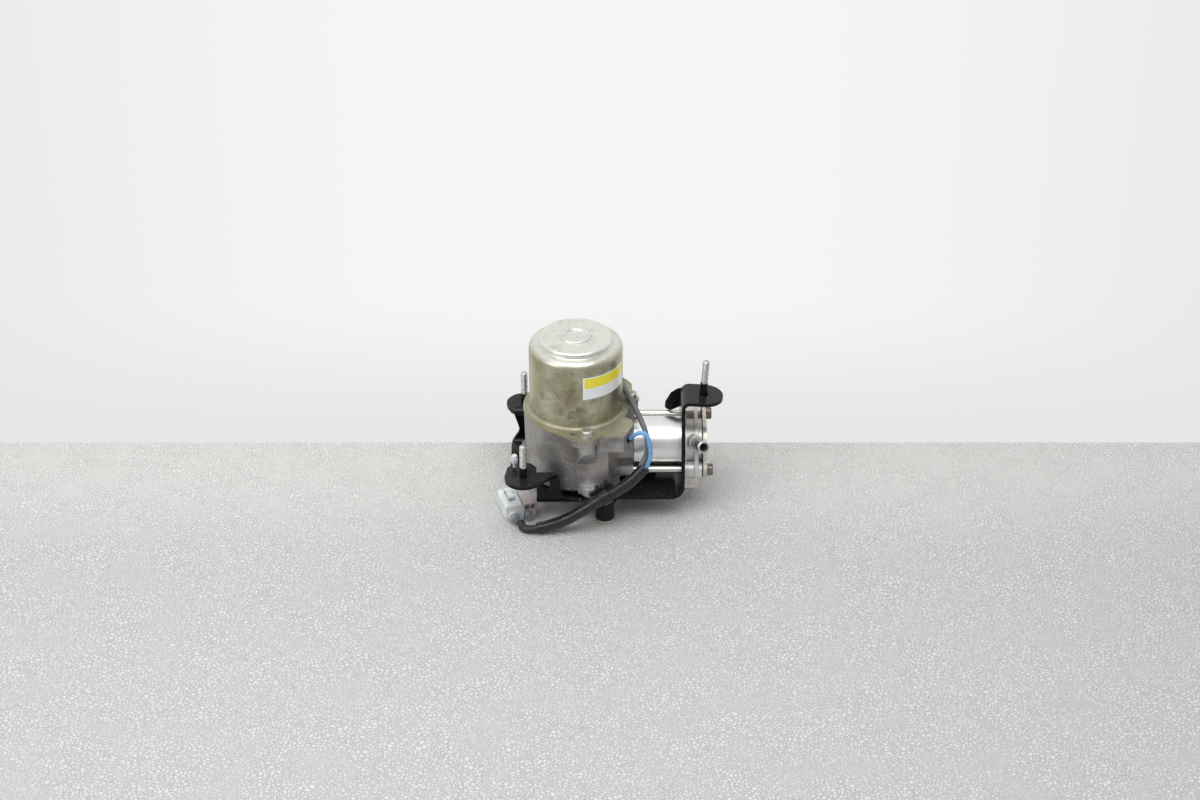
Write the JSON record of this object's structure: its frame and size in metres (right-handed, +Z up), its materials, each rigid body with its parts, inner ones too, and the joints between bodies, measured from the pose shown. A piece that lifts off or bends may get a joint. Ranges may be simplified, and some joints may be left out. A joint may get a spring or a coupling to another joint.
{
  "type": "electric vacuum pump",
  "caption": "Electric vacuum pump: upright motor on a crankcase driving one horizontal piston, with a hose nipple, eared mounting bracket, rubber feet and a wired connector.",
  "frame": {"origin": "on the floor, under the middle of the pump without its loose wiring", "axes": "+X along the barrel from the motor to the head, +Z up along the motor shaft"},
  "size_m": [0.1948, 0.1514, 0.1612],
  "materials": {
    "can_steel": "yellowish passivated steel",
    "case_cast": "weathered casting",
    "head_cast": "cast, grimy",
    "barrel_metal": "bright turned",
    "black_paint": "gloss black paint",
    "zinc": "zinc plated",
    "bolt_dark": "browned steel",
    "steel": "machined",
    "magnet": "ferrite",
    "laminations": "stacked sheets",
    "copper": "enamelled wire",
    "carbon": "carbon block",
    "phenolic": "phenolic board",
    "brass": "plain",
    "rubber": "black rubber",
    "gasket": "pressed fibre",
    "label": "two plain fields, yellow over white",
    "blue_wire": "insulation",
    "grey_wire": "sleeved lead",
    "sheath": "vinyl tube",
    "tape": "wound tape",
    "white_nylon": "aged nylon",
    "pink_nylon": "aged nylon",
    "grey_seal": "silicone seal"
  },
  "bodies": {
    "pump": {"motor_can": "can_steel", "can_sticker": "label", "flange_screws": "zinc", "bearing_cup": "steel", "upper_bearing_outer": "steel", "lower_bearing_outer": "steel", "motor_end_plate": "steel", "field_magnets": "magnet", "brush_plate": "phenolic", "brush_holders": "brass", "carbon_brushes": "carbon", "brush_springs": "steel", "crankcase": "case_cast", "barrel_gasket": "gasket", "cylinder_barrel": "barrel_metal", "head_o_ring": "rubber", "valve_plate": "steel", "inlet_reed": "steel", "outlet_reed": "steel", "cylinder_head": "head_cast", "cover_gasket": "gasket", "cover_plate": "zinc", "tie_bolts": "bolt_dark", "hose_nipple": "zinc", "bracket": "black_paint", "isolator_feet": "rubber", "foot_washers": "zinc", "foot_bolts": "zinc", "blue_grommet": "rubber", "grey_grommet": "rubber", "wire_blue": "blue_wire", "wire_grey": "grey_wire", "harness_sheath": "sheath", "harness_tail": "tape", "harness_clip": "sheath", "ear_clip": "white_nylon", "connector_housing": "white_nylon", "connector_retainer": "pink_nylon", "wire_seals": "grey_seal", "stud_front": "zinc", "stud_rear": "zinc", "stud_right": "zinc"},
    "rotor": {"motor_shaft": "steel", "upper_bearing_inner": "steel", "upper_bearing_balls": "steel", "lower_bearing_inner": "steel", "lower_bearing_balls": "steel", "armature_core": "laminations", "armature_windings": "copper", "commutator": "copper", "crank_disc": "steel"},
    "piston": {"piston": "head_cast", "piston_ring": "steel", "gudgeon_pin": "steel", "pin_circlips": "steel"},
    "con_rod": {"con_rod": "head_cast", "big_end_bearing": "steel", "small_end_bush": "brass", "crank_pin": "steel"}
  },
  "joints": [
    {"name": "crank_spin", "type": "hinge", "parent": "pump", "child": "rotor", "pos_m": [-0.03175, -0.002, 0.1], "axis": [0, 0, 1], "continuous": true},
    {"name": "piston_slide", "type": "slide", "parent": "pump", "child": "piston", "axis": [1, 0, 0], "range_m": [-0.016, 0]},
    {"name": "rod_swing", "type": "hinge", "parent": "piston", "child": "con_rod", "pos_m": [0.04825, -0.002, 0.054], "axis": [0, 0, 1], "range_deg": [-6.38, 6.38]}
  ]
}
